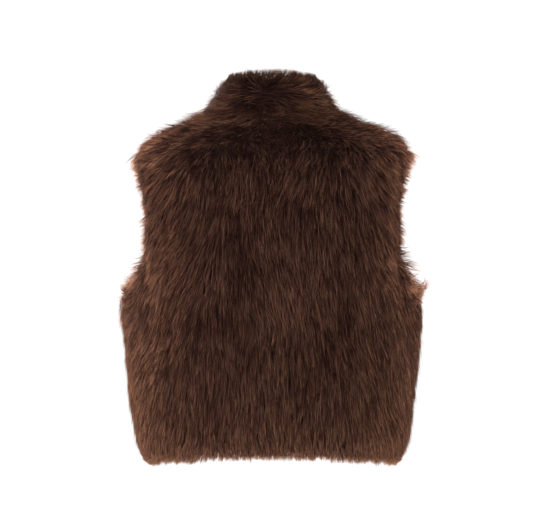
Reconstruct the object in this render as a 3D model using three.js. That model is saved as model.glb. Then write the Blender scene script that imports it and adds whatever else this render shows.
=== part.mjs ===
// A short fur vest with a stand collar, closed at the front with four flat hooks and bars.
// It keeps the hollow form it has when worn: neck, armholes and hem are open.
// Millimetres, +Z up, the back faces +Y and the wearer's left is +X. The origin lies midway
// between the two points where the shoulders of the vest rest beside the neck.
import * as THREE from "three";

// Driving sizes.
const neckHeight = 508; // hem to the shoulder point beside the neck
const underarmHeight = 250; // hem to the bottom of the armhole
const tipHeight = 460; // hem to the end of the shoulder
const pileDepth = 22; // backing to the tips of the fur
const collarPileDepth = 20;
const neckPileDepth = 24; // the fur of body and collar fills the hollow along the neck seam
const seamGap = 0.3;
const neckFillReach = 18; // how far below the seam that starts
const backHemRise = 11; // the hem lies this much higher at the centre back
const backArmholeTurn = 31; // how far the armhole cuts into the back, in degrees round the body
const frontArmholeTurn = 37;
const underarmRound = 0.6; // below 1 the armhole is full and round at its ends
const collarTuft = 9; // the fur stands this much over the top edge of the collar
const collarBlend = 0.5; // share of the collar's height over which its fur turns up from the seam
const neckRound = 1.3; // how the rings dip towards the centre: near 1 the neckline is a round U

// How the fur thins out: share of the pile that is left at an edge, and how far in it is full.
const cutEdge = { left: 0.3, reach: 30 }; // hem and armholes
const collarEdge = { left: 0.3, reach: 24 }; // top of the collar
const parting = { left: 0.62, reach: 12 }; // centre front
const seamLeft = 0.94; // side, shoulder and neck seams

// Level rings of the backing. height is above the hem, side is half the width, back and front are
// the depths from the shoulder line, drop and dip are how much lower the centre front and the
// centre back lie, and corner shapes the ring: 1 is an ellipse, and less is squarer.
const bodyRings = [
  { name: "hem", height: 0, side: 177, back: 109, front: 115, drop: 0, dip: 0, corner: 0.8 },
  { name: "hip", height: 75, side: 189, back: 113, front: 121, drop: 0, dip: 0, corner: 0.8 },
  { name: "waist", height: 165, side: 199, back: 117, front: 128, drop: 0, dip: 0, corner: 0.8 },
  { name: "underarm", height: 250, side: 204, back: 121, front: 132, drop: 0, dip: 0, corner: 0.8 },
  { name: "bust", height: 330, side: 204, back: 121, front: 131, drop: 10, dip: 0, corner: 0.8 },
  { name: "blade", height: 400, side: 202, back: 116, front: 121, drop: 36, dip: 2, corner: 0.81 },
  { name: "upper", height: 435, side: 197, back: 107, front: 109, drop: 49, dip: 4, corner: 0.83 },
  { name: "tip", height: 460, side: 188, back: 97, front: 97, drop: 55, dip: 6, corner: 0.85 },
  { name: "slope", height: 476, side: 163, back: 87, front: 86, drop: 58, dip: 7, corner: 0.88 },
  { name: "slope2", height: 492, side: 127, back: 75, front: 73, drop: 62, dip: 8, corner: 0.94 },
  { name: "neck", height: 508, side: 86, back: 62, front: 60, drop: 66, dip: 8, corner: 1 },
];
const collarRings = [
  { name: "neck", height: 508, side: 86, back: 62, front: 60, drop: 66, dip: 8, corner: 1 },
  { name: "middle", height: 535, side: 76, back: 54, front: 64, drop: 58, dip: 0, corner: 1 },
  { name: "top", height: 558, side: 63, back: 46, front: 68, drop: 50, dip: -7, corner: 1 },
];

// Soft troughs where the wall sinks in, or swells out where depth is negative, from one point to
// another: angle round the body from the centre back in degrees, positive to the wearer's left, and
// height above the hem.
const troughs = [
  { angle: -57, height: 290, toAngle: -79, toHeight: 105, depth: 8, width: 24 },
  { angle: 56, height: 285, toAngle: 66, toHeight: 175, depth: 5, width: 24 },
  { angle: 12, height: 345, toAngle: 20, toHeight: 215, depth: 2.5, width: 30 },
  { angle: -24, height: 225, toAngle: -15, toHeight: 90, depth: 2.5, width: 32 },
  { angle: 128, height: 280, toAngle: 112, toHeight: 130, depth: 5, width: 26 },
  { angle: -126, height: 270, toAngle: -114, toHeight: 110, depth: 6, width: 26 },
  { angle: 158, height: 210, toAngle: 166, toHeight: 80, depth: 3, width: 30 },
  { angle: -70, height: 292, toAngle: -84, toHeight: 266, depth: -15, width: 18 },
];
const troughRadius = 165; // turns a trough's angles into lengths

// The left shoulder hangs lower than the right by drop at its tip. That starts below the tip, a
// length of start above the underarm, and dies out over a length of end before the neck.
const droop = { drop: 5, start: 150, end: 40 };

// Slow swells of the pile, which die out at the seams and the hem, and waves of the hem's edge.
const swell = { height: 1.6, turns: 9, rise: 74, twist: 31, seamDegrees: 20, edge: 60 };
const hemWave = { height: 2.5, turns: 7, fineTurns: 17, fineShare: 0.5, reach: 40 };

// Grid of a panel: rows up the stretches between named heights, and columns round the body.
const rows = { hemToUnderarm: 14, underarmToTip: 13, tipToNeck: 7, collar: 6, collarEase: 1.3 };
const columns = { back: 28, front: 15 };

const degrees = Math.PI / 180;
const smooth = (t) => {
  const u = Math.min(Math.max(t, 0), 1);
  return u * u * (3 - 2 * u);
};
const signedPower = (value, power) => Math.sign(value) * Math.abs(value) ** power;

// A column of a ring table as a smooth curve over height that never overshoots its rings.
function curveOver(rings, column) {
  const h = rings.map((r) => r.height);
  const v = rings.map((r) => r[column]);
  const slope = h.slice(1).map((x, i) => (v[i + 1] - v[i]) / (x - h[i]));
  const tangent = h.map((_, i) => {
    const before = slope[Math.max(i - 1, 0)];
    const after = slope[Math.min(i, slope.length - 1)];
    return before * after <= 0 ? 0 : (2 * before * after) / (before + after);
  });
  return (height) => {
    let i = 0;
    while (i < slope.length - 1 && height > h[i + 1]) i += 1;
    const span = h[i + 1] - h[i];
    const t = (height - h[i]) / span;
    const a = v[i] + tangent[i] * span * t;
    const b = v[i + 1] - tangent[i + 1] * span * (1 - t);
    const w = t * t * (3 - 2 * t);
    return a * (1 - w) + b * w;
  };
}

function ringCurves(rings) {
  const curves = {};
  for (const column of ["side", "back", "front", "drop", "dip", "corner"]) {
    curves[column] = curveOver(rings, column);
  }
  return curves;
}
const bodyCurves = ringCurves(bodyRings);
const collarCurves = ringCurves(collarRings);

// How deep the troughs are at an angle round the body and a height.
function sunk(angle, height) {
  let depth = 0;
  for (const t of troughs) {
    const across = (angle - t.angle) * degrees * troughRadius;
    const up = height - t.height;
    const runAcross = (t.toAngle - t.angle) * degrees * troughRadius;
    const runUp = t.toHeight - t.height;
    const length = runAcross ** 2 + runUp ** 2;
    const along = Math.min(Math.max((across * runAcross + up * runUp) / length, 0), 1);
    const off = Math.hypot(across - along * runAcross, up - along * runUp);
    depth += t.depth * Math.exp(-((off / t.width) ** 2));
  }
  return depth;
}

// A point of the backing, at an angle in degrees and the height of its ring above the hem.
function backingPoint(curves, angle, height) {
  const c = Math.cos(angle * degrees);
  const s = Math.sin(angle * degrees);
  const corner = curves.corner(height);
  const depth = c >= 0 ? curves.back(height) : curves.front(height);
  const lower = Math.abs(c) ** neckRound * (c >= 0 ? curves.dip(height) : curves.drop(height));
  const hemRise = c > 0 ? backHemRise * c * c * (1 - smooth(height / underarmHeight)) : 0;
  const nearTip =
    smooth((height - underarmHeight) / droop.start) * smooth((neckHeight - height) / droop.end);
  const hang = s > 0 ? droop.drop * s * s * nearTip : 0;
  const point = new THREE.Vector3(
    curves.side(height) * signedPower(s, corner),
    depth * signedPower(c, corner),
    height - neckHeight - lower - hang + hemRise,
  );
  const inward = curves === bodyCurves ? sunk(angle, height) : 0;
  const radius = Math.hypot(point.x, point.y);
  point.x *= 1 - inward / radius;
  point.y *= 1 - inward / radius;
  return point;
}

// The direction that faces out of the backing.
function outward(curves, angle, height, rings) {
  const step = 0.5;
  const low = Math.max(height - step, rings[0].height);
  const high = Math.min(height + step, rings[rings.length - 1].height);
  const up = backingPoint(curves, angle, high).sub(backingPoint(curves, angle, low));
  const round = backingPoint(curves, angle + step, height);
  round.sub(backingPoint(curves, angle - step, height));
  return up.cross(round).normalize();
}
const bodyOutward = (angle, height) => outward(bodyCurves, angle, height, bodyRings);
const collarOutward = (angle, height) => outward(collarCurves, angle, height, collarRings);

// The collar and the body meet along this direction at the neck seam.
const neckDirection = (angle) =>
  bodyOutward(angle, neckHeight).add(collarOutward(angle, neckHeight)).normalize();

// How far from the centre back or centre front the armhole lies at a height, in degrees. The side
// and shoulder seams are at 90.
function edgeTurn(height, armholeTurn) {
  const t = (height - underarmHeight) / (tipHeight - underarmHeight);
  if (t <= 0 || t >= 1) return 90;
  return 90 - armholeTurn * (4 * t * (1 - t)) ** underarmRound;
}

const rounded = (distance, edge) => {
  const t = Math.min(distance / edge.reach, 1);
  return edge.left + (1 - edge.left) * Math.sqrt(1 - (1 - t) ** 2);
};

// Steps from 0 to 1 that are closer together at both ends: ease is 0 for even steps, 1 for a cosine.
function easedSteps(count, ease) {
  const list = [];
  for (let i = 0; i <= count; i += 1) {
    const even = i / count;
    list.push(even * (1 - ease) + (ease * (1 - Math.cos(Math.PI * even))) / 2);
  }
  return list;
}

// Heights of the rows: closer together at the hem and at both ends of the armhole.
function stretch(low, high, count, ease) {
  return easedSteps(count, ease).map((t) => low + (high - low) * t);
}
const heights = [
  ...stretch(0, underarmHeight, rows.hemToUnderarm, 0.65).slice(0, -1),
  ...stretch(underarmHeight, tipHeight, rows.underarmToTip, 0.9).slice(0, -1),
  ...stretch(tipHeight, neckHeight, rows.tipToNeck, 0),
];

// Turns a share of the way round a quarter ring, from a centre line (0) to the side (1), into an
// angle, so that equal shares are equal lengths of cloth.
function quarterAngles() {
  const { side, back, corner } = bodyRings.find((r) => r.name === "underarm");
  const list = [{ angle: 0, length: 0 }];
  let before = new THREE.Vector2(0, back);
  const step = 0.25;
  for (let angle = step; angle <= 90; angle += step) {
    const x = side * Math.sin(angle * degrees) ** corner;
    const y = back * Math.max(Math.cos(angle * degrees), 0) ** corner;
    const point = new THREE.Vector2(x, y);
    list.push({ angle, length: list[list.length - 1].length + point.distanceTo(before) });
    before = point;
  }
  return list;
}
const quarter = quarterAngles();
function angleAt(share) {
  const length = share * quarter[quarter.length - 1].length;
  const i = Math.max(quarter.findIndex((q) => q.length >= length - 1e-9), 1);
  const from = quarter[i - 1];
  const to = quarter[i];
  return from.angle + ((to.angle - from.angle) * (length - from.length)) / (to.length - from.length);
}

// Columns as shares of a panel's turn, from the centre line (0) to its side (1).
const backHalf = easedSteps(columns.back, 0.55)
  .slice(columns.back / 2)
  .map((t) => angleAt(2 * t - 1) / 90);
const backShares = [...backHalf.slice(1).reverse().map((s) => -s), ...backHalf];
const frontShares = easedSteps(columns.front, 0.75).map((t) => angleAt(t) / 90);
const leftShares = [...frontShares].reverse(); // all panels run from the wearer's right to the left

const armholeStep = 10;

// The armhole as points of the backing, from the underarm over the edge of a panel to the tip.
function armholeLine(centreAngle, side, armholeTurn) {
  const line = [];
  for (let h = underarmHeight; h <= tipHeight; h += armholeStep) {
    const turn = edgeTurn(h, armholeTurn);
    const angle = centreAngle === 0 ? side * turn : side * (180 - turn);
    line.push(backingPoint(bodyCurves, angle, h));
  }
  return line;
}
const armholes = [-1, 1].flatMap((side) => [
  ...armholeLine(0, side, backArmholeTurn),
  ...armholeLine(180, side, frontArmholeTurn),
]);
const fromArmhole = (point) => Math.min(...armholes.map((p) => p.distanceTo(point)));

// The share of the pile that stands at a point of the body.
function bodyPile(point, angle, height) {
  let left = rounded(fromArmhole(point), cutEdge);
  left = Math.min(left, rounded(height, cutEdge));
  if (Math.abs(angle) > 90) left *= rounded(Math.abs(point.x), parting);
  const onSeam = Math.abs(Math.abs(angle) - 90) < 0.01 || height === neckHeight;
  return left * (onSeam ? seamLeft : 1);
}

// A slow swell of the fur's surface, which dies out at the seams so that the panels meet.
function swelling(angle, height) {
  const fromSeam = Math.min(Math.abs(Math.abs(angle) - 90), 180 - Math.abs(angle));
  const fromEdge = Math.min(neckHeight - height, height);
  const fade = smooth(Math.min(fromSeam / swell.seamDegrees, fromEdge / swell.edge));
  const wave = Math.sin(angle * degrees * swell.turns + height / swell.twist);
  return fade * swell.height * wave * Math.cos((height / swell.rise) * Math.PI);
}

function bodyOuter(inner, angle, height) {
  const toNeck = smooth((height - tipHeight) / (neckHeight - tipHeight));
  const direction = bodyOutward(angle, height).multiplyScalar(1 - toNeck);
  direction.addScaledVector(neckDirection(angle), toNeck).normalize();
  const fill = smooth(1 - (neckHeight - height) / neckFillReach);
  const depth = pileDepth + (neckPileDepth - pileDepth) * fill;
  const stands = depth * bodyPile(inner, angle, height) + swelling(angle, height);
  return inner.clone().addScaledVector(direction, stands);
}

// Keeps a panel its half of the seam gap away from the side and shoulder seams or the centre front.
function partSeams(point, angle, isBack) {
  const half = seamGap / 2;
  if (Math.abs(Math.abs(angle) - 90) < 0.01) point.y = isBack ? half : -half;
  if (Math.abs(Math.abs(angle) - 180) < 0.01) point.x = Math.sign(angle) * half;
  return point;
}

// A closed wall between an inner and an outer grid of points, each a list of rows.
function wallGeometry(inner, outer) {
  const rowCount = inner.length;
  const columnCount = inner[0].length;
  const points = [...inner.flat(), ...outer.flat()];
  const indices = [];
  const at = (side, r, c) => (side * rowCount + r) * columnCount + c;
  const quad = (a, b, c, d) => indices.push(a, b, c, a, c, d);
  for (let r = 0; r < rowCount - 1; r += 1) {
    for (let c = 0; c < columnCount - 1; c += 1) {
      quad(at(0, r, c), at(0, r, c + 1), at(0, r + 1, c + 1), at(0, r + 1, c));
      quad(at(1, r, c), at(1, r + 1, c), at(1, r + 1, c + 1), at(1, r, c + 1));
    }
    const last = columnCount - 1;
    quad(at(0, r, 0), at(0, r + 1, 0), at(1, r + 1, 0), at(1, r, 0));
    quad(at(0, r, last), at(1, r, last), at(1, r + 1, last), at(0, r + 1, last));
  }
  for (let c = 0; c < columnCount - 1; c += 1) {
    const last = rowCount - 1;
    quad(at(0, 0, c), at(1, 0, c), at(1, 0, c + 1), at(0, 0, c + 1));
    quad(at(0, last, c), at(0, last, c + 1), at(1, last, c + 1), at(1, last, c));
  }
  const geometry = new THREE.BufferGeometry();
  geometry.setAttribute(
    "position",
    new THREE.Float32BufferAttribute(points.flatMap((p) => [p.x, p.y, p.z]), 3),
  );
  geometry.setIndex(indices);
  geometry.computeVertexNormals();
  return geometry;
}

// The lower edge of the fur isn't quite level.
function waveHem(point, angle, height) {
  const fade = 1 - smooth(height / hemWave.reach);
  const turn = angle * degrees;
  const fine = hemWave.fineShare * Math.sin(turn * hemWave.fineTurns);
  const wave = Math.sin(turn * hemWave.turns) + fine;
  const offSeam = Math.sin(turn * 2) ** 2;
  point.z += fade * hemWave.height * wave * offSeam;
  return point;
}

// angleOf gives a column's angle on the row at a height.
function bodyPanel(shares, angleOf, isBack) {
  const inner = [];
  const outer = [];
  for (const height of heights) {
    const innerRow = [];
    const outerRow = [];
    for (const s of shares) {
      const angle = angleOf(s, height);
      const point = backingPoint(bodyCurves, angle, height);
      const tip = bodyOuter(point, angle, height);
      for (const p of [point, tip]) partSeams(waveHem(p, angle, height), angle, isBack);
      innerRow.push(point);
      outerRow.push(tip);
    }
    inner.push(innerRow);
    outer.push(outerRow);
  }
  return wallGeometry(inner, outer);
}

const backAngle = (s, height) => s * edgeTurn(height, backArmholeTurn);
const frontAngle = (side) => (s, height) => side * (180 - s * edgeTurn(height, frontArmholeTurn));

// The collar runs all round from one side of the centre front to the other, on the same columns
// as the panels below it.
function collarAngles() {
  const right = frontShares.map((s) => frontAngle(-1)(s, neckHeight));
  const back = backShares.map((s) => backAngle(s, neckHeight));
  const left = leftShares.map((s) => frontAngle(1)(s, neckHeight));
  return [...right, ...back.slice(1, -1), ...left];
}

function collarPanel() {
  const top = collarRings[collarRings.length - 1].height;
  const inner = [];
  const outer = [];
  for (let r = 0; r <= rows.collar; r += 1) {
    const rise = r / rows.collar;
    const height = neckHeight + (top - neckHeight) * (1 - (1 - rise) ** rows.collarEase);
    const fromNeck = smooth(rise / collarBlend);
    const depth = neckPileDepth + (collarPileDepth - neckPileDepth) * fromNeck;
    const innerRow = [];
    const outerRow = [];
    for (const angle of collarAngles()) {
      const point = backingPoint(collarCurves, angle, height);
      const direction = neckDirection(angle).multiplyScalar(1 - fromNeck);
      direction.addScaledVector(collarOutward(angle, height), fromNeck).normalize();
      let left = rounded(top - height, collarEdge);
      if (Math.abs(angle) > 90) left *= rounded(Math.abs(point.x), parting);
      if (r === 0) left *= seamLeft;
      const tip = point.clone().addScaledVector(direction, depth * left);
      tip.z += collarTuft * rise * rise;
      for (const p of [point, tip]) {
        partSeams(p, Math.abs(angle) === 180 ? angle : 0, true);
        p.z += seamGap;
      }
      innerRow.push(point);
      outerRow.push(tip);
    }
    inner.push(innerRow);
    outer.push(outerRow);
  }
  return wallGeometry(inner, outer);
}
// Flat hooks on the wearer's right front, caught in bars on the left front, inside the centre
// front. across is along the body from the centre front, and in is away from the backing.
const fastening = {
  heights: [55, 145, 235, 320], // rings on which the four pairs lie
  stand: 0.7, // clear of the backing
  gap: 0.4, // between hook and bar
  metal: 0.8,
  // The hook's plate lies from plateEnd to rampStart, its ramp rises to rampEnd, and its tongue
  // comes back under the bar as far as tongue. lean sets the ramp's outer face back.
  hook: { width: 9, plateEnd: -13, rampStart: -2.2, rampEnd: 0.8, tongue: 1.8, lean: 0.4 },
  bar: { near: 3.2, far: 5, low: 2.3, high: 3.5, halfWidth: 6.5, post: 1.2 },
};

function hookGeometry() {
  const { bar, hook, metal, gap } = fastening;
  const over = bar.high + gap;
  const under = bar.low - gap;
  const end = bar.far + gap;
  const outline = new THREE.Shape([
    new THREE.Vector2(hook.plateEnd, 0),
    new THREE.Vector2(hook.rampStart, 0),
    new THREE.Vector2(hook.rampEnd, over),
    new THREE.Vector2(end, over),
    new THREE.Vector2(end, under),
    new THREE.Vector2(hook.tongue, under),
    new THREE.Vector2(hook.tongue, under - metal),
    new THREE.Vector2(end + metal, under - metal),
    new THREE.Vector2(end + metal, over + metal),
    new THREE.Vector2(hook.rampEnd - hook.lean, over + metal),
    new THREE.Vector2(hook.rampStart - hook.lean, metal),
    new THREE.Vector2(hook.plateEnd, metal),
  ]);
  const geometry = new THREE.ExtrudeGeometry(outline, { depth: hook.width, bevelEnabled: false });
  return geometry.translate(0, 0, -hook.width / 2);
}

function barGeometry() {
  const { near, far, low, high, halfWidth, post } = fastening.bar;
  const frame = new THREE.Shape();
  frame.moveTo(-halfWidth, 0);
  frame.lineTo(halfWidth, 0);
  frame.lineTo(halfWidth, high);
  frame.lineTo(-halfWidth, high);
  const slot = new THREE.Path();
  const half = halfWidth - post;
  slot.moveTo(-half, fastening.metal / 2);
  slot.lineTo(-half, low);
  slot.lineTo(half, low);
  slot.lineTo(half, fastening.metal / 2);
  frame.holes.push(slot);
  const geometry = new THREE.ExtrudeGeometry(frame, { depth: far - near, bevelEnabled: false });
  // The frame's outline is drawn across and up, and it stands on the left front.
  return geometry.rotateY(Math.PI / 2).translate(near, 0, 0);
}

// Lays a fastening on the inside of the centre front at a ring.
function seatFastening(mesh, height) {
  const point = backingPoint(bodyCurves, 180, height);
  const out = bodyOutward(180, height);
  const inward = out.clone().negate();
  const across = new THREE.Vector3(1, 0, 0);
  const up = new THREE.Vector3().crossVectors(across, inward);
  mesh.quaternion.setFromRotationMatrix(new THREE.Matrix4().makeBasis(across, inward, up));
  mesh.position.copy(point).addScaledVector(inward, fastening.stand);
}

const fur = { roughness: 0.75, metalness: 0 };
const materials = {
  back: new THREE.MeshStandardMaterial({ color: 0x3b261b, ...fur }),
  front: new THREE.MeshStandardMaterial({ color: 0x40291d, ...fur }),
  collar: new THREE.MeshStandardMaterial({ color: 0x33211a, ...fur }),
  metal: new THREE.MeshStandardMaterial({ color: 0x2b2724, roughness: 0.4, metalness: 0.9 }),
};

function piece(name, geometry, material) {
  const mesh = new THREE.Mesh(geometry, material);
  mesh.name = name;
  return mesh;
}

const vest = new THREE.Group();
vest.add(piece("back", bodyPanel(backShares, backAngle, true), materials.back));
vest.add(piece("front_left", bodyPanel(leftShares, frontAngle(1), false), materials.front));
vest.add(piece("front_right", bodyPanel(frontShares, frontAngle(-1), false), materials.front));
vest.add(piece("collar", collarPanel(), materials.collar));
fastening.heights.forEach((height, i) => {
  const hook = piece(`hook_${i + 1}`, hookGeometry(), materials.metal);
  const bar = piece(`bar_${i + 1}`, barGeometry(), materials.metal);
  seatFastening(hook, height);
  seatFastening(bar, height);
  vest.add(hook, bar);
});

export default vest;
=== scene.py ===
# A short fur vest with a stand collar, hollow as when it is worn. Each panel is a thin pelt with a
# soft underfur on it, and long hairs over both, joined into a few meshes.
import bpy
import math
import numpy as np
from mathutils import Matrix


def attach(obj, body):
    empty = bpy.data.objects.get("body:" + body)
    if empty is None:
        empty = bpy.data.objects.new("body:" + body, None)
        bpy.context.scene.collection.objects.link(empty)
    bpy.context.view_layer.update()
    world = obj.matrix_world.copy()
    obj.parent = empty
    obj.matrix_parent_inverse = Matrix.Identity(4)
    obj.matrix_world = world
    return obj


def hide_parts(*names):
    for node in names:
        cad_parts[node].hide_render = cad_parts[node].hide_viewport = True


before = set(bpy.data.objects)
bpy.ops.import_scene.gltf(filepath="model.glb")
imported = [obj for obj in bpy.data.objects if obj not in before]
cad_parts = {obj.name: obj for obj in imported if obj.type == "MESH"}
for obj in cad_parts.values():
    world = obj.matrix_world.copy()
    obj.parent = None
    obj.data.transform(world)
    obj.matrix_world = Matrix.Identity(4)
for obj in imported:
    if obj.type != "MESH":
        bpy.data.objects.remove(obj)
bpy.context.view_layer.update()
mm = 0.001
body = "root"
print("frame loaded")


# Camera at the photo's angle, square on to the back.
view = {
    "distance": 4.5,
    "across": 0.825,  # width of the picture at the shoulder line
    "aim": (-0.00375, -0.2125),  # x and z at the picture's centre
}


def makeCamera(v):
    data = bpy.data.cameras.new("photoCamera")
    data.lens = data.sensor_width * v["distance"] / v["across"]
    camera = bpy.data.objects.new("photoCamera", data)
    camera.location = (v["aim"][0], v["distance"], v["aim"][1])
    camera.rotation_euler = (math.pi / 2, 0, math.pi)
    bpy.context.scene.collection.objects.link(camera)
    bpy.context.scene.camera = camera


makeCamera(view)
print("camera made")


# The form of the vest, in millimetres, as its solids have it. Heights are above the hem.
form = {
    "neckHeight": 508,
    "underarmHeight": 250,
    "tipHeight": 460,
    "collarTop": 558,
    "pile": 22,  # backing to the tips of the fur
    "collarPile": 20,
    "neckPile": 24,  # along the neck seam
    "neckFillReach": 18,
    "backHemRise": 11,
    "backArmholeTurn": 31,
    "frontArmholeTurn": 37,
    "underarmRound": 0.6,
    "neckRound": 1.3,
    "collarTuft": 9,
}
# What is left of the pile at an edge, and how far in from there it is full.
hemEdge = {"left": 0.3, "reach": 30}
collarEdge = {"left": 0.3, "reach": 24}
parting = {"left": 0.62, "reach": 12}
droop = {"drop": 5, "start": 150, "end": 40}  # of the left shoulder
ringColumns = ("height", "side", "back", "front", "drop", "dip", "corner")
bodyRings = {
    "hem": (0, 177, 109, 115, 0, 0, 0.8),
    "hip": (75, 189, 113, 121, 0, 0, 0.8),
    "waist": (165, 199, 117, 128, 0, 0, 0.8),
    "underarm": (250, 204, 121, 132, 0, 0, 0.8),
    "bust": (330, 204, 121, 131, 10, 0, 0.8),
    "blade": (400, 202, 116, 121, 36, 2, 0.81),
    "upper": (435, 197, 107, 109, 49, 4, 0.83),
    "tip": (460, 188, 97, 97, 55, 6, 0.85),
    "slope": (476, 163, 87, 86, 58, 7, 0.88),
    "slope2": (492, 127, 75, 73, 62, 8, 0.94),
    "neck": (508, 86, 62, 60, 66, 8, 1),
}
collarRings = {
    "neck": (508, 86, 62, 60, 66, 8, 1),
    "middle": (535, 76, 54, 64, 58, 0, 1),
    "top": (558, 63, 46, 68, 50, -7, 1),
}
troughColumns = ("angle", "height", "toAngle", "toHeight", "depth", "width")
troughs = [
    (-57, 290, -79, 105, 8, 24),
    (56, 285, 66, 175, 5, 24),
    (12, 345, 20, 215, 2.5, 30),
    (-24, 225, -15, 90, 2.5, 32),
    (128, 280, 112, 130, 5, 26),
    (-126, 270, -114, 110, 6, 26),
    (158, 210, 166, 80, 3, 30),
    (-70, 292, -84, 266, -15, 18),
]
troughRadius = 165  # turns a trough's angles into lengths


# Runs from 0 to 1 on an S curve.
def smooth(t):
    u = np.clip(t, 0, 1)
    return u * u * (3 - 2 * u)


def signedPower(value, power):
    return np.sign(value) * np.abs(value) ** power


# A ring table's column over height: between two rings it blends the straight lines that leave
# them along their tangents, and a ring's tangent is the harmonic mean of its two slopes.
def curveOver(heights, values):
    slope = np.diff(values) / np.diff(heights)
    before = np.append(slope[:1], slope)
    after = np.append(slope, slope[-1:])
    product = before * after
    total = np.where(product > 0, before + after, 1)
    tangent = np.where(product > 0, 2 * product / total, 0)

    def at(height):
        i = np.clip(np.searchsorted(heights, height) - 1, 0, len(slope) - 1)
        span = heights[i + 1] - heights[i]
        t = (height - heights[i]) / span
        lower = values[i] + tangent[i] * span * t
        upper = values[i + 1] - tangent[i + 1] * span * (1 - t)
        w = smooth(t)
        return lower * (1 - w) + upper * w

    return at


def ringCurves(rings):
    table = np.array(list(rings.values()), float).T
    return {name: curveOver(table[0], column) for name, column in zip(ringColumns, table)}


bodyCurves = ringCurves(bodyRings)
collarCurves = ringCurves(collarRings)


# How deep the troughs are: each falls off as a bell curve with the distance from its line.
def sunk(angle, height):
    depth = np.zeros_like(angle)
    arc = math.radians(troughRadius)
    for row in troughs:
        t = dict(zip(troughColumns, row))
        across = (angle - t["angle"]) * arc
        up = height - t["height"]
        runAcross = (t["toAngle"] - t["angle"]) * arc
        runUp = t["toHeight"] - t["height"]
        along = np.clip((across * runAcross + up * runUp) / (runAcross**2 + runUp**2), 0, 1)
        off = np.hypot(across - along * runAcross, up - along * runUp)
        depth += t["depth"] * np.exp(-((off / t["width"]) ** 2))
    return depth


# A point of the backing at an angle round the body, in degrees from the centre back and positive
# to the wearer's left. A ring is an ellipse whose sine and cosine are raised to the corner power.
def backing(curves, angle, height):
    c = np.cos(np.radians(angle))
    s = np.sin(np.radians(angle))
    corner = curves["corner"](height)
    behind = c >= 0
    depth = np.where(behind, curves["back"](height), curves["front"](height))
    low = np.where(behind, curves["dip"](height), curves["drop"](height))
    low = low * np.abs(c) ** form["neckRound"]
    hemRise = form["backHemRise"] * np.maximum(c, 0) ** 2
    hemRise = hemRise * (1 - smooth(height / form["underarmHeight"]))
    nearTip = smooth((height - form["underarmHeight"]) / droop["start"])
    nearTip = nearTip * smooth((form["neckHeight"] - height) / droop["end"])
    hang = droop["drop"] * np.maximum(s, 0) ** 2 * nearTip
    x = curves["side"](height) * signedPower(s, corner)
    y = depth * signedPower(c, corner)
    z = height - form["neckHeight"] - low - hang + hemRise
    if curves is bodyCurves:
        keep = 1 - sunk(angle, height) / np.hypot(x, y)
        x, y = x * keep, y * keep
    return np.stack([x, y, z], -1)


def unit(vectors):
    return vectors / np.maximum(np.linalg.norm(vectors, axis=-1, keepdims=True), 1e-9)


# The steps of the backing round the body and up it, for one degree and one millimetre of height.
def steps(curves, angle, height):
    half = 0.5
    around = backing(curves, angle + half, height) - backing(curves, angle - half, height)
    up = backing(curves, angle, height + half) - backing(curves, angle, height - half)
    return around, up


def outward(curves, angle, height):
    around, up = steps(curves, angle, height)
    return unit(np.cross(up, around))


# How far from the centre back or the centre front the armhole lies, in degrees.
def edgeTurn(height, turn):
    t = (height - form["underarmHeight"]) / (form["tipHeight"] - form["underarmHeight"])
    t = np.clip(t, 0, 1)
    return 90 - turn * (4 * t * (1 - t)) ** form["underarmRound"]


def rounded(distance, edge):
    t = np.clip(distance / edge["reach"], 0, 1)
    return edge["left"] + (1 - edge["left"]) * np.sqrt(1 - (1 - t) ** 2)


# Points along the edges of both armholes.
armholeStep = 5  # millimetres of height


def makeArmholes():
    height = np.arange(form["underarmHeight"], form["tipHeight"] + 1, armholeStep)
    behind = edgeTurn(height, form["backArmholeTurn"])
    before = 180 - edgeTurn(height, form["frontArmholeTurn"])
    lines = []
    for side in (-1, 1):
        for turn in (behind, before):
            lines.append(backing(bodyCurves, side * turn, height))
    return np.concatenate(lines)


armholes = makeArmholes()


# The distance to the nearest point of the armholes, and the way to it.
def toArmhole(points):
    least = np.full(len(points), np.inf)
    way = np.zeros_like(points)
    for point in armholes:
        gap = point - points
        distance = np.linalg.norm(gap, axis=1)
        nearer = distance < least
        least[nearer] = distance[nearer]
        way[nearer] = gap[nearer]
    return least, unit(way)


# The depth of the fur on the body and on the collar.
def bodyPile(angle, height):
    point = backing(bodyCurves, angle, height)
    left = rounded(toArmhole(point)[0], hemEdge)
    left = np.minimum(left, rounded(height, hemEdge))
    split = rounded(np.abs(point[:, 0]), parting)
    left = left * np.where(np.abs(angle) > 90, split, 1)
    fill = smooth(1 - (form["neckHeight"] - height) / form["neckFillReach"])
    return left * (form["pile"] + (form["neckPile"] - form["pile"]) * fill)


def collarPile(angle, height):
    point = backing(collarCurves, angle, height)
    rise = (height - form["neckHeight"]) / (form["collarTop"] - form["neckHeight"])
    left = rounded(form["collarTop"] - height, collarEdge)
    split = rounded(np.abs(point[:, 0]), parting)
    left = left * np.where(np.abs(angle) > 90, split, 1)
    depth = form["neckPile"] + (form["collarPile"] - form["neckPile"]) * smooth(rise / 0.5)
    return left * depth


# Value noise from -1 to 1: random numbers on a lattice, blended by S curves.
latticeSize = 64


def noise(x, y, cell, seed):
    lattice = np.random.default_rng(seed).uniform(-1, 1, (latticeSize, latticeSize))
    gx, gy = x / cell, y / cell
    ix, iy = np.floor(gx).astype(int), np.floor(gy).astype(int)
    tx, ty = smooth(gx - ix), smooth(gy - iy)
    i0, i1 = ix % latticeSize, (ix + 1) % latticeSize
    j0, j1 = iy % latticeSize, (iy + 1) % latticeSize
    low = lattice[i0, j0] * (1 - tx) + lattice[i1, j0] * tx
    high = lattice[i0, j1] * (1 - tx) + lattice[i1, j1] * tx
    return low * (1 - ty) + high * ty


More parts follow.
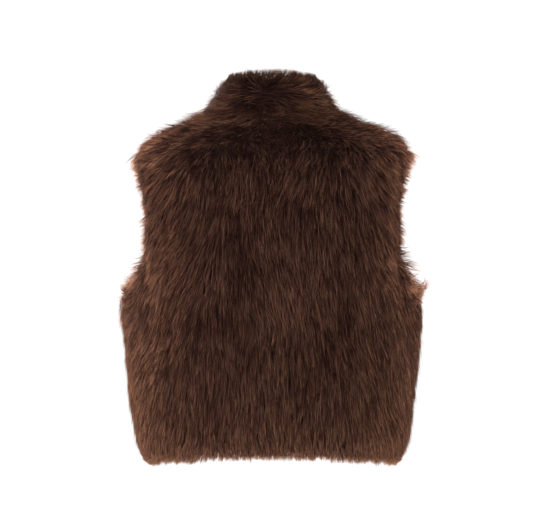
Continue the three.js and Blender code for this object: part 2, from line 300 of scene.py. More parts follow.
# A point over the cloth: at an angle and a height, lifted by a share of the fur's depth there.
def overCloth(angle, height, lift):
    point = np.empty((len(angle), 3))
    below = height < form["neckHeight"]
    zones = ((bodyCurves, bodyPile, below), (collarCurves, collarPile, ~below))
    for curves, depthAt, here in zones:
        a, h = angle[here], height[here]
        depth = lift[here] * depthAt(a, h)
        point[here] = backing(curves, a, h) + outward(curves, a, h) * depth[:, None]
    return point


print("form ready")


# Meshes from whole arrays.
def makeObject(name, points, faces, material):
    mesh = bpy.data.meshes.new(name)
    size = faces.shape[1]
    mesh.vertices.add(len(points))
    mesh.vertices.foreach_set("co", (points * mm).astype(np.float32).ravel())
    mesh.loops.add(faces.size)
    mesh.loops.foreach_set("vertex_index", faces.astype(np.int32).ravel())
    mesh.polygons.add(len(faces))
    mesh.polygons.foreach_set("loop_start", np.arange(0, faces.size, size, dtype=np.int32))
    mesh.polygons.foreach_set("use_smooth", np.ones(len(faces), bool))
    mesh.update(calc_edges=True)
    mesh.materials.append(material)
    piece = bpy.data.objects.new(name, mesh)
    bpy.context.scene.collection.objects.link(piece)
    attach(piece, body)
    return piece


# The faces of a closed wall between an inner and an outer grid of rows by columns points.
def wallFaces(rows, columns):
    index = np.arange(2 * rows * columns).reshape(2, rows, columns)

    def quads(a, b, c, d):
        return np.stack([a, b, c, d], -1).reshape(-1, 4)

    i, o = index
    return np.concatenate([
        quads(i[:-1, :-1], i[:-1, 1:], i[1:, 1:], i[1:, :-1]),
        quads(o[:-1, :-1], o[1:, :-1], o[1:, 1:], o[:-1, 1:]),
        quads(i[:-1, 0], i[1:, 0], o[1:, 0], o[:-1, 0]),
        quads(i[:-1, -1], o[:-1, -1], o[1:, -1], i[1:, -1]),
        quads(i[0, :-1], o[0, :-1], o[0, 1:], i[0, 1:]),
        quads(i[-1, :-1], i[-1, 1:], o[-1, 1:], o[-1, :-1]),
    ])


# Materials.
def nodeMaterial(name):
    material = bpy.data.materials.new(name)
    material.use_nodes = True
    tree = material.node_tree
    shader = tree.nodes["Principled BSDF"]
    return material, tree, shader


def ramp(tree, stops):
    node = tree.nodes.new("ShaderNodeValToRGB")
    elements = node.color_ramp.elements
    while len(elements) < len(stops):
        elements.new(0.5)
    for element, (place, colour) in zip(elements, stops):
        element.position = place
        element.color = (*colour, 1)
    return node


# The colours of a dark and a light hair, from the root at 0 to the tip at 1.
hair = {
    "dark": [
        (0.0, (0.006, 0.0022, 0.0018)),
        (0.5, (0.0145, 0.0052, 0.0048)),
        (0.8, (0.0250, 0.0090, 0.0075)),
        (1.0, (0.150, 0.055, 0.026)),
    ],
    "light": [
        (0.0, (0.014, 0.005, 0.004)),
        (0.5, (0.100, 0.0435, 0.0325)),
        (1.0, (0.480, 0.250, 0.145)),
    ],
    "roughness": 0.5,
    "specular": 0.035,
    # Painted shade: the collar's hairs take these shares of the body's colours, which make the collar
    # darker.
    "collarDarkShade": 0.6,  # the collar's shares of the body's colours
    "collarLightShade": 0.858,
}


# A share of each colour, except at the tip.
def shaded(stops, share):
    return [(place, [c if place == 1 else share * c for c in colour]) for place, colour in stops]


# A hair's colour runs from root to tip along its map's second coordinate, between a dark and a
# light hair by its first.
def hairMaterial(name, h, darkShare, lightShare):
    material, tree, shader = nodeMaterial(name)
    place = tree.nodes.new("ShaderNodeUVMap")
    place.uv_map = "hair"
    split = tree.nodes.new("ShaderNodeSeparateXYZ")
    tree.links.new(place.outputs["UV"], split.inputs[0])
    dark = ramp(tree, shaded(h["dark"], darkShare))
    light = ramp(tree, shaded(h["light"], lightShare))
    mix = tree.nodes.new("ShaderNodeMix")
    mix.data_type = "RGBA"
    tree.links.new(split.outputs["Y"], dark.inputs[0])
    tree.links.new(split.outputs["Y"], light.inputs[0])
    tree.links.new(split.outputs["X"], mix.inputs["Factor"])
    tree.links.new(dark.outputs["Color"], mix.inputs["A"])
    tree.links.new(light.outputs["Color"], mix.inputs["B"])
    tree.links.new(mix.outputs["Result"], shader.inputs["Base Color"])
    shader.inputs["Roughness"].default_value = h["roughness"]
    shader.inputs["Specular IOR Level"].default_value = h["specular"]
    return material


# Finishes with a grain. The scale is of the noise along X, Y and Z.
grainDetail = 6
grainStops = (0.35, 0.7)  # where the noise is all of the first colour and all of the second
finishLooks = {
    "underfur": {
        "colours": ((0.006, 0.0025, 0.002), (0.016, 0.0065, 0.004)),
        "scale": (900, 900, 180),
        "bump": 0.9,
        "roughness": 0.9,
        "specular": 0.1,
        "metallic": 0,
    },
    "suedePelt": {
        "colours": ((0.085, 0.048, 0.030), (0.135, 0.082, 0.052)),
        "scale": (260, 260, 260),
        "bump": 0.35,
        "roughness": 0.85,
        "specular": 0.5,
        "metallic": 0,
    },
    "burnishedMetal": {
        "colours": ((0.030, 0.026, 0.023), (0.075, 0.066, 0.058)),
        "scale": (1500, 1500, 450),
        "bump": 0.15,
        "roughness": 0.38,
        "specular": 0.5,
        "metallic": 0.9,
    },
}


# Colour between two by a noise, and a bump from the same noise.
def grainyMaterial(name, look):
    material, tree, shader = nodeMaterial(name)
    place = tree.nodes.new("ShaderNodeTexCoord")
    mapping = tree.nodes.new("ShaderNodeMapping")
    mapping.inputs["Scale"].default_value = look["scale"]
    grain = tree.nodes.new("ShaderNodeTexNoise")
    grain.inputs["Scale"].default_value = 1
    grain.inputs["Detail"].default_value = grainDetail
    tree.links.new(place.outputs["Object"], mapping.inputs["Vector"])
    tree.links.new(mapping.outputs["Vector"], grain.inputs["Vector"])
    shade = ramp(tree, list(zip(grainStops, look["colours"])))
    tree.links.new(grain.outputs["Fac"], shade.inputs[0])
    tree.links.new(shade.outputs["Color"], shader.inputs["Base Color"])
    raised = tree.nodes.new("ShaderNodeBump")
    raised.inputs["Strength"].default_value = look["bump"]
    raised.inputs["Distance"].default_value = mm
    tree.links.new(grain.outputs["Fac"], raised.inputs["Height"])
    tree.links.new(raised.outputs["Normal"], shader.inputs["Normal"])
    shader.inputs["Roughness"].default_value = look["roughness"]
    shader.inputs["Specular IOR Level"].default_value = look["specular"]
    shader.inputs["Metallic"].default_value = look["metallic"]
    return material


bodyHair = hairMaterial("brownFur", hair, 1, 1)
# The collar's hairs get a darker copy of the body's colours as painted shade; only the tips keep their
# colour.
shadedCollarHair = hairMaterial("shadedCollarFur", hair, hair["collarDarkShade"], hair["collarLightShade"])
finishes = {name: grainyMaterial(name, look) for name, look in finishLooks.items()}


# Panels. A grid's columns run from the centre line to the side, or from side to side.
panels = {
    "back": {"slot": "fur_back", "turn": "backArmholeTurn", "columns": 64, "rows": 60},
    "front_left": {"slot": "fur_front", "turn": "frontArmholeTurn", "side": 1, "columns": 32, "rows": 60},
    "front_right": {"slot": "fur_front", "turn": "frontArmholeTurn", "side": -1, "columns": 32, "rows": 60},
    "collar": {"slot": "fur_collar", "columns": 96, "rows": 8},
}
pelt = {
    "thick": 1.6,
    "edge": 9,  # strip that the fur overhangs at the armhole
    "hem": 10,  # how far above the hem it ends
    "top": -2,  # where it ends, from the collar's top edge
    "gap": 0.03,  # from a seam
    "collarGap": 0.5,  # degrees from the centre front
}
underfur = {
    "share": 0.5,  # of the pile
    "least": 0.6,  # how far it stands out from the pelt at least
    "edge": 5,
    "top": 2.5,
    "off": 0.1,  # from the pelt
    "uneven": 0.12,
    "noise": (3, 7, 5),  # millimetres for a degree, cell and seed
}
bodyPerDegree = 3.1  # millimetres of cloth round the body
collarPerDegree = 1.4


def besideArmhole(height):
    return (height > form["underarmHeight"]) & (height < form["tipHeight"])


# Angles of a panel's grid: the share times the armhole's turn, less the strip that the fur
# overhangs at the armhole.
def panelAngles(p, share, height, strip):
    gap = pelt["gap"] / bodyPerDegree
    turn = edgeTurn(height, form[p["turn"]])
    turn = turn - np.where(besideArmhole(height), strip / bodyPerDegree, gap)
    if "side" not in p:
        return share * turn
    return p["side"] * (180 - gap - share * (turn - gap))


def panelGrid(name, strip, top):
    p = panels[name]
    if name == "collar":
        end = 180 - pelt["collarGap"]
        angle = np.linspace(-end, end, p["columns"])
        height = np.linspace(form["neckHeight"] + pelt["gap"], form["collarTop"] + top, p["rows"])
        return np.meshgrid(angle, height)
    share = np.linspace(0 if "side" in p else -1, 1, p["columns"])
    if p.get("side") == 1:
        share = share[::-1]
    height = np.linspace(pelt["hem"], form["neckHeight"] - pelt["gap"], p["rows"])
    share, height = np.meshgrid(share, height)
    return panelAngles(p, share, height, strip), height


# The points of a wall over a panel's grid, from one distance off the backing to another.
def layer(name, angle, height, low, high):
    curves = collarCurves if name == "collar" else bodyCurves
    point = backing(curves, angle, height)
    out = outward(curves, angle, height)
    inner = point + out * low[..., None]
    outer = point + out * high[..., None]
    return np.concatenate([inner.reshape(-1, 3), outer.reshape(-1, 3)])


def pileAt(name, angle, height):
    flat = (collarPile if name == "collar" else bodyPile)(angle.ravel(), height.ravel())
    return flat.reshape(angle.shape)


def makePelt(name):
    angle, height = panelGrid(name, pelt["edge"], pelt["top"])
    none = np.zeros_like(angle)
    points = layer(name, angle, height, none, none + pelt["thick"])
    faces = wallFaces(*angle.shape)
    piece = makeObject(name + "Pelt", points, faces, finishes["suedePelt"])
    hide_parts(name)
    return piece


def makeUnderfur(name):
    angle, height = panelGrid(name, underfur["edge"], underfur["top"])
    pile = pileAt(name, angle, height)
    low = np.full_like(angle, pelt["thick"] + underfur["off"])
    stretch, cell, seed = underfur["noise"]
    rough = 1 + underfur["uneven"] * noise(angle * stretch, height, cell, seed)
    high = np.maximum(pile * underfur["share"] * rough, pelt["thick"] + underfur["least"])
    points = layer(name, angle, height, low, high)
    faces = wallFaces(*angle.shape)
    return makeObject(name + "Underfur", points, faces, finishes["underfur"])


# Hairs. Lengths are in millimetres, and shares of the pile say how high a point of a hair stands.
hairPieces = {
    "backFurLeft": {"panel": "back", "turn": (30, 90), "count": 25000},
    "backFurMiddle": {"panel": "back", "turn": (-30, 30), "count": 25000},
    "backFurRight": {"panel": "back", "turn": (-90, -30), "count": 25000},
    "frontFurLeft": {"panel": "front_left", "turn": (90, 180), "count": 29000},
    "frontFurRight": {"panel": "front_right", "turn": (-180, -90), "count": 29000},
    "shadedCollarFur": {"panel": "collar", "turn": (-180, 180), "count": 20000},
}
growth = {
    "length": 33,
    "unevenLength": 0.3,
    "shaggyShorter": 0.32,  # share of the length that is lost where the fur is shaggy
    "radius": 0.34,
    "unevenRadius": (0.6, 1.25),
    "edgeThicker": 0.25,
    "root": 0.25,  # share of the pile
    "lift": (0.68, 1.08),  # share of the pile where the tips end
    "widest": (0.36, 0.72),  # how far along a hair is widest, in the fur and at a free edge
    "middle": (0.72, 0.22, -0.2),  # share of the tip's lift there: plain, for widest, for shaggy
    "loose": 0.05,  # share of hairs that stand away
    "looseLift": 1.18,
    "looseRadius": 0.6,
    "neckReach": 18,  # of the collar's hairs down over the neck seam
    "crossing": 1.6,  # degrees that hairs reach past the centre front
    "shortest": 0.05,  # share of a hair that is left where it meets an edge
}
# Widths of the bands along edges where hairs differ, and what they do there.
edges = {
    "armhole": 13,
    "hem": 34,
    "collarTop": 10,
    "collarSide": 35,  # degrees round the side, where the collar is shaggy
    "shoulder": (445, 480),  # heights between which the body becomes shaggy
    "turning": 15,  # where hairs turn towards the armhole
    "turn": 1.3,
    "underarm": 18,
    "underarmTurn": 0.8,  # more at the underarm
}
# How thickly hairs grow: shares that are added at edges, and the widths of those bands.
roots = {
    "edgeDensity": 1.5,
    "front": 9,
    "collarTop": 10,
    "armhole": 16,
    "hem": 24,
    "belowTop": 2,  # where the collar's roots end
    "candidates": 8,  # for each hair
}
# Hairs lean towards the middle of their lock, and at edges of their clump. A tuft gathers more.
gatherings = {
    "lock": {"size": 1.8, "pull": 0.8, "seed": 31},
    "clump": {"size": 5.5, "pull": 0.55, "seed": 71},
    "tuft": {"size": 12, "pull": 0.2, "seed": 41},
}
lockEdgeLoss = 0.6  # share of the lock's pull that a free edge takes away
clumpShaggy = 0.7  # share of the clump's pull where the fur is shaggy
# How far hairs reach past an edge.
overhang = {
    "hair": (-1.5, 1.5),
    "clump": (-2, 4),
    "tuft": (0, 4.5),
    "standing": 16,  # for each share of the pile by which a tuft stands out
    "underarm": {"above": 15, "width": 35, "adds": 5},
    "shoulder": {"above": 4, "width": 20, "adds": 7},
    "collar": {"clump": 0.75, "tuft": 0.4, "hair": 0.15},  # shares of the collar's tuft
}
# How unevenly tips stand, as shares of the pile.
unevenness = {
    "waves": (0.08, 17, 51),  # share, cell and seed
    "tuft": 0.13,
    "clump": 0.09,
    "high": (430, 470),  # heights between which tufts and clumps come to stand twice as unevenly
    "shaggy": 0.3,
    "shaggyMiddle": 0.35,
    "hem": 0.8,
    "hemWidth": 14,
}


def bell(distance, width):
    return np.exp(-((distance / width) ** 2))


# 0 up to the start and 1 from the end, on an S curve between.
def step(value, start, end):
    return smooth((value - start) / (end - start))


def between(ends, share):
    low, high = ends
    return low + (high - low) * share


# What a spot adds in its middle, falling off over a width in millimetres.
spotColumns = ("angle", "height", "width", "adds")
# Where fur stands out further, as a share of its depth.
tufts = [
    (88, 246, 14, 0.5),
    (-88, 258, 18, 0.12),
    (-68, 288, 16, 0.3),
    (-88, 474, 18, 0.45),
    (88, 490, 20, -0.06),
    (-88, 494, 18, -0.08),
    (86, 112, 16, 0.12),
]
# Where fur is lighter or darker. The body's spot at the nape and the collar's spots are painted shade; the
# other body spots are patches of lighter or darker fur.
bodySpots = [
    # Painted shade at the nape.
    (0, 505, 70, -0.22),
    (-50, 462, 42, 0.32),
    (0, 20, 60, 0.05),
    (58, 350, 40, -0.03),
]
collarShadeSpots = [
    (0, 515, 25, -0.12),
    (36, 540, 26, -0.24),
    (-36, 540, 26, -0.06),
]


def spots(rows, angle, height, scale):
    total = np.zeros_like(angle)
    for row in rows:
        spot = dict(zip(spotColumns, row))
        off = np.hypot((angle - spot["angle"]) * scale, height - spot["height"])
        total = total + spot["adds"] * bell(off, spot["width"])
    return total


# Degrees from the centre back or the centre front.
def fromCentre(angle):
    return np.where(np.abs(angle) > 90, 180 - np.abs(angle), np.abs(angle))


# Roots spread evenly over the cloth: an even sequence over angle and height, thinned so that
# what is left is even over the surface, and denser towards edges.
evenSteps = (0.7548776662, 0.5698402910)  # 1 / p and 1 / p**2 where p**3 = p + 1


def plantRoots(piece, seed):
    onCollar = piece["panel"] == "collar"
    curves = collarCurves if onCollar else bodyCurves
    rng = np.random.default_rng(seed)
    low = form["neckHeight"] if onCollar else pelt["hem"]
    high = form["collarTop"] - roots["belowTop"] if onCollar else form["neckHeight"]
    n = np.arange(piece["count"] * roots["candidates"])
    start, end = piece["turn"]
    angle = start + (end - start) * np.mod(0.5 + n * evenSteps[0], 1)
    height = low + (high - low) * np.mod(0.5 + n * evenSteps[1], 1)
    around, up = steps(curves, angle, height)
    area = np.linalg.norm(np.cross(around, up), axis=1)
    share = area / area.max()
    place = backing(curves, angle, height)
    atFront = (np.abs(angle) > 90) * bell(place[:, 0], roots["front"])
    share = share * (1 + roots["edgeDensity"] * atFront)
    if onCollar:
        atEdge = bell(high - height, roots["collarTop"])
    else:
        atEdge = bell(toArmhole(place)[0], roots["armhole"]) + bell(height, roots["hem"])
    share = share * (1 + roots["edgeDensity"] * atEdge)
    keep = rng.uniform(0, 1 + roots["edgeDensity"], len(n)) < share
    if not onCollar:
        turn = form[panels[piece["panel"]]["turn"]]
        strip = np.where(besideArmhole(height), pelt["edge"] / bodyPerDegree, 0)
        keep &= fromCentre(angle) < edgeTurn(height, turn) - strip
    chosen = np.flatnonzero(keep)
    chosen = chosen[np.linspace(0, len(chosen) - 1, min(piece["count"], len(chosen))).astype(int)]
    return angle[chosen], height[chosen]


# The body's hairs lie down the cloth, turned outwards by a tilt and by waves, in degrees.
bodyFlow = {
    "tilt": 27,
    "full": 55,  # degrees from the centre where the tilt is full
    "fades": (68, 90),  # degrees between which it ends
    "atHem": 0.45,  # share of the tilt
    "rises": [(60, 300, 0.55), (380, 440, 0.35)],  # heights between which a share is added
    "slowWaves": (10, 85, 11),  # degrees, cell and seed
    "waves": (9, 24, 12),
    "uneven": 5,
    "shoulder": (420, 460),  # heights between which the shoulder's waves are added
    "shoulderWaves": 16,
    "shoulderUneven": 7,
}


def bodyTilt(angle, height):
    turn = fromCentre(angle)
    spread = smooth(turn / bodyFlow["full"]) * (1 - step(turn, *bodyFlow["fades"]))
    share = bodyFlow["atHem"]
    for start, end, adds in bodyFlow["rises"]:
        share = share + adds * step(height, start, end)
    return bodyFlow["tilt"] * spread * share


def waves(x, y, row):
    turn, cell, seed = row
    return turn * noise(x, y, cell, seed)


def bodyLay(angle, height, around, down, rng):
    f = bodyFlow
    x, y = angle * bodyPerDegree, height
    shoulder = step(height, *f["shoulder"])
    outside = np.sign(angle) * np.where(np.abs(angle) > 90, -1, 1)
    turn = outside * bodyTilt(angle, height) + waves(x, y, f["slowWaves"]) + waves(x, y, f["waves"])
    turn = turn + shoulder * waves(x, y, (f["shoulderWaves"], *f["waves"][1:]))
    uneven = f["uneven"] + f["shoulderUneven"] * shoulder
    turn = np.radians(turn + uneven * rng.normal(0, 1, len(angle)))
    return around * np.sin(turn)[:, None] + down * np.cos(turn)[:, None]


# The collar's hairs lie sideways from a parting at the back, a little downwards, and turn up at
# its top edge, in degrees.
collarFlow = {
    "parting": 12,
    "partingUneven": 12,
    "partingWidth": 9,
    "front": (150, 190),  # where hairs come to hang again
    "upper": (0.5, 0.9),  # shares of the collar's height between which hairs turn up
    "sideways": 70,
    "upwards": 85,
    "slowWaves": (26, 30, 21),
    "waves": (22, 12, 22),
    "uneven": 12,
}


def upCollar(height):
    return (height - form["neckHeight"]) / (form["collarTop"] - form["neckHeight"])


def collarLay(angle, height, around, down, rng):
    f = collarFlow
    x, y = angle * collarPerDegree, height
    upper = step(upCollar(height), *f["upper"])
    fromParting = angle - f["parting"] + rng.normal(0, f["partingUneven"], len(angle))
    sideways = np.tanh(fromParting / f["partingWidth"]) * (1 - step(np.abs(angle), *f["front"]))
    sideways = sideways + (np.sign(fromParting) - sideways) * upper
    turn = (f["sideways"] + f["upwards"] * upper) * sideways
    turn = turn + waves(x, y, f["slowWaves"]) + waves(x, y, f["waves"])
    turn = np.radians(turn + rng.normal(0, f["uneven"], len(angle)))
    return around * np.sin(turn)[:, None] + down * np.cos(turn)[:, None]


# A direction as lengths along the cloth: round it and up it, which aren't quite square.
def onCloth(way, around, up):
    a, b = (way * around).sum(1), (way * up).sum(1)
    skew = (around * up).sum(1)
    return np.stack([a - skew * b, b - skew * a], -1) / (1 - skew**2)[:, None]


# Cells over the cloth, longer than wide and bent by noise. Each point gets the way to a place
# near the middle of its cell, and a number from 0 to 1 that the whole cell shares.
cellShape = {"long": 1.5, "bend": 0.6, "bendSize": 2.2, "place": (0.2, 0.8)}
cellPrimes = (73856093, 19349663, 83492791)
cellKinds = 4096


def gather(x, y, kind):
    wide = gatherings[kind]["size"]
    seed = gatherings[kind]["seed"]
    long = wide * cellShape["long"]
    bend = wide * cellShape["bend"]
    bendSize = wide * cellShape["bendSize"]
    wx = x + bend * noise(x, y, bendSize, seed)
    wy = y + bend * noise(x, y, bendSize, seed + 1)
    i, j = np.floor(wx / wide).astype(int), np.floor(wy / long).astype(int)
    mixed = (i * cellPrimes[0]) ^ (j * cellPrimes[1]) ^ (seed * cellPrimes[2])
    table = np.random.default_rng(seed).uniform(0, 1, (cellKinds, 3))
    pick = table[np.abs(mixed) % cellKinds]
    middleX = (i + between(cellShape["place"], pick[:, 0])) * wide
    middleY = (j + between(cellShape["place"], pick[:, 1])) * long
    return np.stack([middleX - wx, middleY - wy], -1), pick[:, 2]


# How light a hair is, from 0 on the dark ramp to 1 on the light one.
tones = {
    "plain": 0.1,
    "lock": 0.5,  # added for the light locks
    "lightLocks": (0.5, 0.85),  # between these numbers of a lock
    "waves": (0.1, 26, 61),
    # Painted light: hairs near free edges, at the armholes, the hem and the collar's top, are lighter, a
    # glow of light through thin fur; the collar adds a little more.
    "atEdge": 0.4,
    "uneven": 0.14,
    # Painted shade: the collar's hairs are darker.
    "collar": -0.16,
    "collarEdge": 0.05,
    # Painted shade: hairs are darker in the troughs, by their depth.
    "sunk": -0.03,  # for each millimetre
    # Painted shade: darker towards the nape on the back.
    "napeShade": (460, 495, -0.14),  # heights between which a tone is added
    # Painted light: these bands and the hem share make the body's hairs lighter towards the hem and darker
    # higher up.
    "low": (0, 220, -0.12),
    "high": (240, 390, -0.12),
    "hem": 0.12,
}
waveStretch = {"lift": 1.6, "tone": 1.8}  # how much longer than wide their waves are


def hairTone(onCollar, angle, height, scale, lockTone, atEdge, rng):
    x, y = angle * scale, height / waveStretch["tone"]
    tone = tones["plain"] + tones["lock"] * step(lockTone, *tones["lightLocks"])
    # Painted light: lighter near free edges.
    tone = tone + waves(x, y, tones["waves"]) + tones["atEdge"] * atEdge
    if onCollar:
        # Painted shade makes the collar's hairs darker; the edge term adds painted light along its top.
        tone = tone + tones["collar"] + tones["collarEdge"] * atEdge
        # Painted shade: darker spots at the nape and on both sides of the collar.
        tone = tone + spots(collarShadeSpots, angle, height, scale)
    else:
        # Painted shade: the back's hairs darken towards the nape.
        start, end, adds = tones["napeShade"]
        tone = tone + adds * step(height, start, end) * (np.abs(angle) < 90)
        # Painted shade: hairs are darker in the troughs, the deeper the darker.
        tone = tone + tones["sunk"] * sunk(angle, height) + tones["hem"]
        # Painted light: with the hem share above, these bands make the body's hairs lighter towards the hem
        # and darker higher up.
        for start, end, adds in (tones["low"], tones["high"]):
            tone = tone + adds * step(height, start, end)
        tone = tone + spots(bodySpots, angle, height, scale)
    return np.clip(tone + rng.normal(0, tones["uneven"], len(angle)), 0, 1)


# Each hair is a closed spindle: a root point, a ring of three points and a tip point. All three
# places are points of the surface, at an angle and a height, lifted off it by a share of the pile.
def makeHair(name, piece, seed):
    rng = np.random.default_rng(seed)
    onCollar = piece["panel"] == "collar"
    curves = collarCurves if onCollar else bodyCurves
    scale = collarPerDegree if onCollar else bodyPerDegree
    angle, height = plantRoots(piece, seed)
    count = len(angle)
    x, y = angle * scale, height
    root = backing(curves, angle, height)
    around, up = steps(curves, angle, height)
    perAngle = np.linalg.norm(around, axis=1)
    perHeight = np.linalg.norm(up, axis=1)
    around, up = unit(around), unit(up)
    normal = unit(np.cross(up, around))
    down = unit(normal * normal[:, 2:] - np.array([0, 0, 1.0]))
    side = np.cross(down, normal)
    lay = (collarLay if onCollar else bodyLay)(angle, height, side, down, rng)

    if onCollar:
        atEdge = bell(form["collarTop"] - height, edges["collarTop"])
        shaggy = bell(np.abs(angle) - 90, edges["collarSide"])
    else:
        distance, way = toArmhole(root)
        atEdge = np.maximum(bell(distance, edges["armhole"]), bell(height, edges["hem"]))
        shaggy = step(height, *edges["shoulder"])
        toEdge = unit(onCloth(way, around, up))
        underarm = bell(height - form["underarmHeight"], edges["underarm"])
        turning = (edges["turn"] + edges["underarmTurn"] * underarm) * bell(distance, edges["turning"])
        lay = lay + turning[:, None] * way

    length = growth["length"] * (1 + growth["unevenLength"] * rng.uniform(-1, 1, count))
    length = length * (1 - growth["shaggyShorter"] * shaggy)
    ahead = unit(onCloth(unit(lay), around, up))
    beside = np.stack([ahead[:, 1], -ahead[:, 0]], -1)
    lockWay, lockTone = gather(x, y, "lock")
    clumpWay, clumpTone = gather(x, y, "clump")
    tuftWay, tuftTone = gather(x, y, "tuft")
    locked = gatherings["lock"]["pull"] * (1 - lockEdgeLoss * atEdge)
    clumped = gatherings["clump"]["pull"] * np.maximum(atEdge, clumpShaggy * shaggy)
    gathered = locked[:, None] * lockWay + clumped[:, None] * clumpWay
    gathered = gathered + gatherings["tuft"]["pull"] * tuftWay
    pull = (gathered * beside).sum(1)
    reach = ahead * length[:, None] + beside * pull[:, None]

    standing = spots(tufts, angle, height, scale)
    over = rng.uniform(*overhang["hair"], count) + overhang["standing"] * standing
    over = over + between(overhang["clump"], clumpTone) + between(overhang["tuft"], tuftTone)
    if onCollar:
        tuft = overhang["collar"]
        share = tuft["clump"] * clumpTone + tuft["tuft"] * tuftTone + rng.uniform(0, tuft["hair"], count)
        room = (form["collarTop"] - height) * perHeight + form["collarTuft"] * share
        rises = np.maximum(reach[:, 1], 1e-6)
        reach = reach * np.minimum(1, room / rises)[:, None]
    else:
        for band, start in (("underarm", "underarmHeight"), ("shoulder", "tipHeight")):
            b = overhang[band]
            over = over + b["adds"] * bell(height - form[start] - b["above"], b["width"])
        falls = np.maximum(-reach[:, 1], 1e-6)
        kept = np.clip((height * perHeight + over) / falls, growth["shortest"], 1)
        reach = reach * kept[:, None]
        towards = np.maximum((reach * toEdge).sum(1), 1e-6)
        kept = np.clip((distance + over) / towards, growth["shortest"], 1)
        reach = reach * kept[:, None]

    def at(share, lift):
        a = angle + share * reach[:, 0] / perAngle
        h = height + share * reach[:, 1] / perHeight
        atFront = np.sign(angle) * np.minimum(np.abs(a), 180 + growth["crossing"])
        a = np.where(np.abs(angle) > 90, atFront, a)
        if onCollar:
            h = np.maximum(h, form["neckHeight"] - growth["neckReach"])
        else:
            h = np.minimum(h, form["neckHeight"] - 0.01)
        point = overCloth(a, h, lift)
        if onCollar:
            point[:, 2] += form["collarTuft"] * share * np.clip(upCollar(h), 0, 1) ** 2
        return point

    u = unevenness
    twice = 1 + step(height, *u["high"])
    patch = 1 + standing + waves(x, y / waveStretch["lift"], u["waves"])
    patch = patch + twice * (u["tuft"] * (tuftTone - 0.5) + u["clump"] * (clumpTone - 0.5))
    patch = patch + u["shaggy"] * shaggy * (clumpTone - u["shaggyMiddle"])
    patch = patch + u["hem"] * bell(height, u["hemWidth"])
    tipLift = rng.uniform(*growth["lift"], count) * patch
    loose = rng.uniform(0, 1, count) < growth["loose"]
    tipLift = np.where(loose, tipLift * growth["looseLift"], tipLift)
    widest = between(growth["widest"], atEdge)
    plain, forWidest, forShaggy = growth["middle"]
    start = at(0, np.full(count, growth["root"]))
    middle = at(widest, (plain + forWidest * widest + forShaggy * shaggy) * tipLift)
    tip = at(1, tipLift)

    axis = unit(tip - start)
    across = unit(np.cross(axis, rng.normal(0, 1, (count, 3))))
    other = np.cross(axis, across)
    radius = growth["radius"] * rng.uniform(*growth["unevenRadius"], count)
    radius = radius * np.where(loose, growth["looseRadius"], 1 + growth["edgeThicker"] * atEdge)
    points = np.empty((count, 5, 3))
    points[:, 0], points[:, 4] = start, tip
    for k in range(3):
        turn = 2 * math.pi * k / 3
        ringWay = across * math.cos(turn) + other * math.sin(turn)
        points[:, 1 + k] = middle + ringWay * radius[:, None]
    pattern = np.array([[1, 2, 4], [2, 3, 4], [3, 1, 4], [2, 1, 0], [3, 2, 0], [1, 3, 0]])
    faces = (np.arange(count)[:, None, None] * 5 + pattern).reshape(-1, 3)
    finish = shadedCollarHair if onCollar else bodyHair
    made = makeObject(name, points.reshape(-1, 3), faces, finish)

    tone = hairTone(onCollar, angle, height, scale, lockTone, atEdge, rng)
    along = np.stack([np.zeros(count), widest, widest, widest, np.ones(count)], -1)
    uv = np.empty((count, 6, 3, 2))
    uv[..., 0] = tone[:, None, None]
    uv[..., 1] = along[:, pattern]
    made.data.uv_layers.new(name="hair").data.foreach_set("uv", uv.astype(np.float32).ravel())
    print(name, count, "hairs")
    return made


pelts = {name: makePelt(name) for name in panels}
underfurs = {name: makeUnderfur(name) for name in panels}
print("pelts and underfur made")
furs = {name: makeHair(name, piece, 100 + i) for i, (name, piece) in enumerate(hairPieces.items())}
print("hair made")


# Hooks and bars keep their solids and get a dark burnished finish.
for name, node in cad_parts.items():
    if name.startswith(("hook", "bar")):
        node.data.materials.clear()
        node.data.materials.append(finishes["burnishedMetal"])
print("fastenings finished")


# Stage: a plain pale floor below, and soft light from all sides.
stage = {
    "floor": -1.0,
    "radius": 3.5,
    "sides": 96,
    "colour": (0.9, 0.89, 0.88, 1),
    "roughness": 0.8,
    "glow": 0.25,
    "glowColour": (1, 0.99, 0.97, 1),
}


def makeFloor(s):
    turn = np.linspace(0, 2 * math.pi, s["sides"], endpoint=False)
    height = np.full(s["sides"], s["floor"])
    rim = np.stack([np.cos(turn) * s["radius"], np.sin(turn) * s["radius"], height], -1)
    mesh = bpy.data.meshes.new("floor")
    mesh.from_pydata(rim.tolist(), [], [list(range(s["sides"]))])
    paint, _, shader = nodeMaterial("paleFloor")
    shader.inputs["Base Color"].default_value = s["colour"]
    shader.inputs["Roughness"].default_value = s["roughness"]
    shader.inputs["Emission Color"].default_value = s["glowColour"]
    shader.inputs["Emission Strength"].default_value = s["glow"]
    mesh.materials.append(paint)
    floor = bpy.data.objects.new("floor", mesh)
    bpy.context.scene.collection.objects.link(floor)


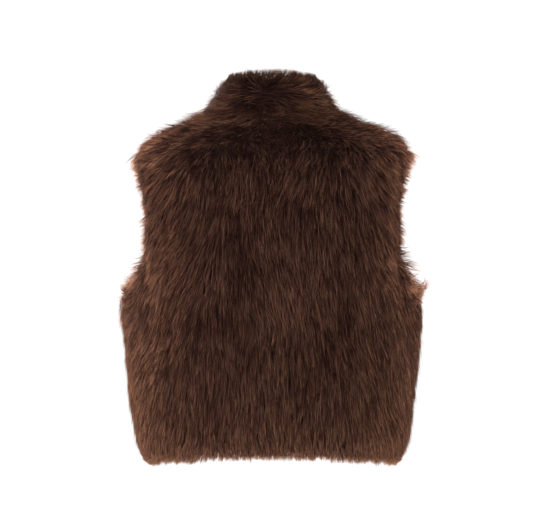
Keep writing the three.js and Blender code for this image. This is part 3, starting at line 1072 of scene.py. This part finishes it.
lampColumns = ("place", "size", "power", "colour")
lamps = {
    "key": ((2.1, 1.7, -0.9), 1.6, 44, (1.0, 0.97, 0.95)),
    "fill": ((-2.1, 1.6, -0.8), 1.6, 20, (1.0, 0.97, 0.96)),
    "front": ((0.3, 3.4, -0.7), 1.6, 4, (1.0, 0.97, 0.95)),
    "rimLeft": ((1.8, -0.8, -0.5), 1.0, 24, (1.0, 0.76, 0.58)),
    "rimRight": ((-1.8, -0.8, -0.5), 1.0, 17, (1.0, 0.76, 0.58)),
    "rimTop": ((0.0, -1.6, 1.3), 1.2, 3, (1.0, 0.8, 0.65)),
}
lampSpread = 75  # degrees
lampAim = (0, 0, -0.22)  # the middle of the vest


def makeLamps():
    for name, row in lamps.items():
        lamp = dict(zip(lampColumns, row))
        data = bpy.data.lights.new(name, "AREA")
        data.size = lamp["size"]
        data.energy = lamp["power"]
        data.color = lamp["colour"]
        data.spread = math.radians(lampSpread)
        light = bpy.data.objects.new(name, data)
        light.location = lamp["place"]
        x, y, z = np.array(lampAim) - np.array(lamp["place"])
        down = math.acos(-z / math.sqrt(x**2 + y**2 + z**2))
        light.rotation_euler = (down, 0, math.atan2(y, x) - math.pi / 2)
        bpy.context.scene.collection.objects.link(light)


# The world is white to the camera and dimmer as a light.
worldStrength = {"light": 0.45, "seen": 1.05}


def makeWorld(strength):
    world = bpy.data.worlds.new("studio")
    bpy.context.scene.world = world
    world.use_nodes = True
    nodes, links = world.node_tree.nodes, world.node_tree.links
    dim = nodes["Background"]
    seen = nodes.new("ShaderNodeBackground")
    for node, key in ((dim, "light"), (seen, "seen")):
        node.inputs["Color"].default_value = (1, 1, 1, 1)
        node.inputs["Strength"].default_value = strength[key]
    path = nodes.new("ShaderNodeLightPath")
    mix = nodes.new("ShaderNodeMixShader")
    links.new(path.outputs["Is Camera Ray"], mix.inputs["Fac"])
    links.new(dim.outputs[0], mix.inputs[1])
    links.new(seen.outputs[0], mix.inputs[2])
    links.new(mix.outputs[0], nodes["World Output"].inputs["Surface"])


bpy.context.scene.view_settings.view_transform = "Standard"
makeFloor(stage)
makeLamps()
makeWorld(worldStrength)
print("stage set")
